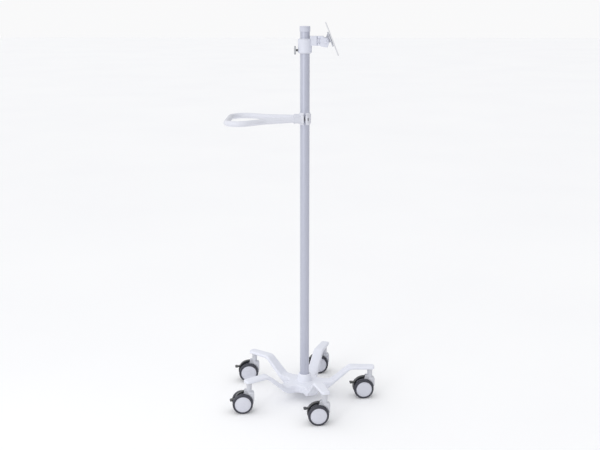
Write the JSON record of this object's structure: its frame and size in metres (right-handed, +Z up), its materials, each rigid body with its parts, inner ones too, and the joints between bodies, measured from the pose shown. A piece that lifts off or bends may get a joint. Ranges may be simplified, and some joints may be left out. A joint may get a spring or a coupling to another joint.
{
  "type": "rolling device stand",
  "caption": "Rolling floor stand: star base on locking twin-wheel casters, round pole, push handle loop and a sliding, panning, tilting device plate.",
  "frame": {"origin": "on the pole axis at floor level", "axes": "+Z up along the pole, +X towards the device plate, handle loop towards -X"},
  "size_m": [0.548, 0.5293, 1.3935],
  "materials": {
    "white_casting": "smooth white powder coat with fine texture",
    "white_metal": "white powder coat",
    "bracket_metal": "light grey powder coat",
    "plate_metal": "light grey powder coat",
    "pole_coat": "smooth satin silver-white coat",
    "handle_coat": "smooth satin white coat",
    "white_plastic": "moulded, satin",
    "cap_plastic": "moulded silver grey, satin",
    "caster_plastic": "moulded light grey, satin",
    "wheel_disc": "moulded light grey, satin",
    "grey_plastic": "moulded grey",
    "dark_plastic": "moulded black",
    "brake_plastic": "moulded black",
    "tyre": "dark grey polyurethane tread",
    "steel": "zinc plated",
    "dark_steel": "black oxide"
  },
  "bodies": {
    "stand": {"star_base": "white_casting", "caster_stems": "steel", "hub_set_screws": "dark_steel", "pole": "pole_coat", "pole_cap": "cap_plastic", "pole_plug": "steel", "pole_washer": "steel", "pole_bolt": "steel", "handle_loop": "handle_coat", "handle_clamp_saddle": "white_plastic", "handle_clamp_cover": "white_plastic", "handle_clamp_screws": "dark_steel"},
    "right_caster": {"right_caster_housing": "caster_plastic", "right_caster_pins": "steel"},
    "right_left_wheel_set": {"right_wheel_left": "wheel_disc", "right_tyre_left": "tyre"},
    "right_right_wheel_set": {"right_wheel_right": "wheel_disc", "right_tyre_right": "tyre"},
    "right_brake": {"right_brake_pedal": "brake_plastic"},
    "rear_caster": {"rear_caster_housing": "caster_plastic", "rear_caster_pins": "steel"},
    "rear_left_wheel_set": {"rear_wheel_left": "wheel_disc", "rear_tyre_left": "tyre"},
    "rear_right_wheel_set": {"rear_wheel_right": "wheel_disc", "rear_tyre_right": "tyre"},
    "rear_brake": {"rear_brake_pedal": "brake_plastic"},
    "rear_left_caster": {"rear_left_caster_housing": "caster_plastic", "rear_left_caster_pins": "steel"},
    "rear_left_left_wheel_set": {"rear_left_wheel_left": "wheel_disc", "rear_left_tyre_left": "tyre"},
    "rear_left_right_wheel_set": {"rear_left_wheel_right": "wheel_disc", "rear_left_tyre_right": "tyre"},
    "rear_left_brake": {"rear_left_brake_pedal": "brake_plastic"},
    "front_left_caster": {"front_left_caster_housing": "caster_plastic", "front_left_caster_pins": "steel"},
    "front_left_left_wheel_set": {"front_left_wheel_left": "wheel_disc", "front_left_tyre_left": "tyre"},
    "front_left_right_wheel_set": {"front_left_wheel_right": "wheel_disc", "front_left_tyre_right": "tyre"},
    "front_left_brake": {"front_left_brake_pedal": "brake_plastic"},
    "front_caster": {"front_caster_housing": "caster_plastic", "front_caster_pins": "steel"},
    "front_left_wheel_set": {"front_wheel_left": "wheel_disc", "front_tyre_left": "tyre"},
    "front_right_wheel_set": {"front_wheel_right": "wheel_disc", "front_tyre_right": "tyre"},
    "front_brake": {"front_brake_pedal": "brake_plastic"},
    "mount_slider": {"mount_clamp_liner": "white_plastic"},
    "mount_clamp": {"mount_collar": "white_metal"},
    "clamp_knob_set": {"mount_clamp_knob": "grey_plastic", "mount_clamp_screw": "dark_steel"},
    "pan_head": {"pan_link": "white_metal", "pan_bolt": "steel", "pan_nut": "steel", "tilt_bolt": "white_metal", "tilt_nut": "white_metal"},
    "tilt_head": {"tilt_bracket": "bracket_metal", "plate_turn_washer": "dark_plastic", "plate_centre_screw": "dark_steel"},
    "plate_head": {"mount_plate": "plate_metal"}
  },
  "joints": [
    {"name": "right_swivel", "type": "hinge", "parent": "stand", "child": "right_caster", "pos_m": [0.247, 0, 0.09], "axis": [0, 0, 1], "continuous": true},
    {"name": "right_left_spin", "type": "hinge", "parent": "right_caster", "child": "right_left_wheel_set", "pos_m": [0.22224, -0.00348, 0.0375], "axis": [-0.1392, 0.9903, 0], "continuous": true},
    {"name": "right_right_spin", "type": "hinge", "parent": "right_caster", "child": "right_right_wheel_set", "pos_m": [0.22224, -0.00348, 0.0375], "axis": [-0.1392, 0.9903, 0], "continuous": true},
    {"name": "right_brake_press", "type": "hinge", "parent": "right_caster", "child": "right_brake", "pos_m": [0.23413, -0.00181, 0.082], "axis": [0.1392, -0.9903, 0], "range_deg": [0, 12]},
    {"name": "rear_swivel", "type": "hinge", "parent": "stand", "child": "rear_caster", "pos_m": [0.07633, 0.23491, 0.09], "axis": [0, 0, 1], "continuous": true},
    {"name": "rear_left_spin", "type": "hinge", "parent": "rear_caster", "child": "rear_left_wheel_set", "pos_m": [0.05157, 0.23143, 0.0375], "axis": [-0.1392, 0.9903, 0], "continuous": true},
    {"name": "rear_right_spin", "type": "hinge", "parent": "rear_caster", "child": "rear_right_wheel_set", "pos_m": [0.05157, 0.23143, 0.0375], "axis": [-0.1392, 0.9903, 0], "continuous": true},
    {"name": "rear_brake_press", "type": "hinge", "parent": "rear_caster", "child": "rear_brake", "pos_m": [0.06345, 0.2331, 0.082], "axis": [0.1392, -0.9903, 0], "range_deg": [0, 12]},
    {"name": "rear_left_swivel", "type": "hinge", "parent": "stand", "child": "rear_left_caster", "pos_m": [-0.19983, 0.14518, 0.09], "axis": [0, 0, 1], "continuous": true},
    {"name": "rear_left_left_spin", "type": "hinge", "parent": "rear_left_caster", "child": "rear_left_left_wheel_set", "pos_m": [-0.22458, 0.1417, 0.0375], "axis": [-0.1392, 0.9903, 0], "continuous": true},
    {"name": "rear_left_right_spin", "type": "hinge", "parent": "rear_left_caster", "child": "rear_left_right_wheel_set", "pos_m": [-0.22458, 0.1417, 0.0375], "axis": [-0.1392, 0.9903, 0], "continuous": true},
    {"name": "rear_left_brake_press", "type": "hinge", "parent": "rear_left_caster", "child": "rear_left_brake", "pos_m": [-0.2127, 0.14337, 0.082], "axis": [0.1392, -0.9903, 0], "range_deg": [0, 12]},
    {"name": "front_left_swivel", "type": "hinge", "parent": "stand", "child": "front_left_caster", "pos_m": [-0.19983, -0.14518, 0.09], "axis": [0, 0, 1], "continuous": true},
    {"name": "front_left_left_spin", "type": "hinge", "parent": "front_left_caster", "child": "front_left_left_wheel_set", "pos_m": [-0.22458, -0.14866, 0.0375], "axis": [-0.1392, 0.9903, 0], "continuous": true},
    {"name": "front_left_right_spin", "type": "hinge", "parent": "front_left_caster", "child": "front_left_right_wheel_set", "pos_m": [-0.22458, -0.14866, 0.0375], "axis": [-0.1392, 0.9903, 0], "continuous": true},
    {"name": "front_left_brake_press", "type": "hinge", "parent": "front_left_caster", "child": "front_left_brake", "pos_m": [-0.2127, -0.14699, 0.082], "axis": [0.1392, -0.9903, 0], "range_deg": [-12, 0]},
    {"name": "front_swivel", "type": "hinge", "parent": "stand", "child": "front_caster", "pos_m": [0.07633, -0.23491, 0.09], "axis": [0, 0, 1], "continuous": true},
    {"name": "front_left_spin", "type": "hinge", "parent": "front_caster", "child": "front_left_wheel_set", "pos_m": [0.05157, -0.23839, 0.0375], "axis": [-0.1392, 0.9903, 0], "continuous": true},
    {"name": "front_right_spin", "type": "hinge", "parent": "front_caster", "child": "front_right_wheel_set", "pos_m": [0.05157, -0.23839, 0.0375], "axis": [-0.1392, 0.9903, 0], "continuous": true},
    {"name": "front_brake_press", "type": "hinge", "parent": "front_caster", "child": "front_brake", "pos_m": [0.06345, -0.23672, 0.082], "axis": [0.1392, -0.9903, 0], "range_deg": [0, 12]},
    {"name": "mount_height", "type": "slide", "parent": "stand", "child": "mount_slider", "axis": [0, 0, 1], "range_m": [-0.16, 0.02]},
    {"name": "mount_turn", "type": "hinge", "parent": "mount_slider", "child": "mount_clamp", "pos_m": [0, 0, 1.3125], "axis": [0, 0, 1], "range_deg": [-170, 170]},
    {"name": "clamp_knob_turn", "type": "hinge", "parent": "mount_clamp", "child": "clamp_knob_set", "pos_m": [-0.0345, 0, 1.2975], "axis": [-1, 0, 0], "range_deg": [-15, 300]},
    {"name": "head_pan", "type": "hinge", "parent": "mount_clamp", "child": "pan_head", "pos_m": [0.052, 0, 1.33], "axis": [0, 0, 1], "range_deg": [-40, 40]},
    {"name": "plate_tilt", "type": "hinge", "parent": "pan_head", "child": "tilt_head", "pos_m": [0.0755, 0, 1.33], "axis": [0, -1, 0], "range_deg": [-38, 28]},
    {"name": "plate_turn", "type": "hinge", "parent": "tilt_head", "child": "plate_head", "pos_m": [0.09356, 0, 1.33722], "axis": [0.9285, 0, 0.3714], "range_deg": [-90, 90]}
  ]
}
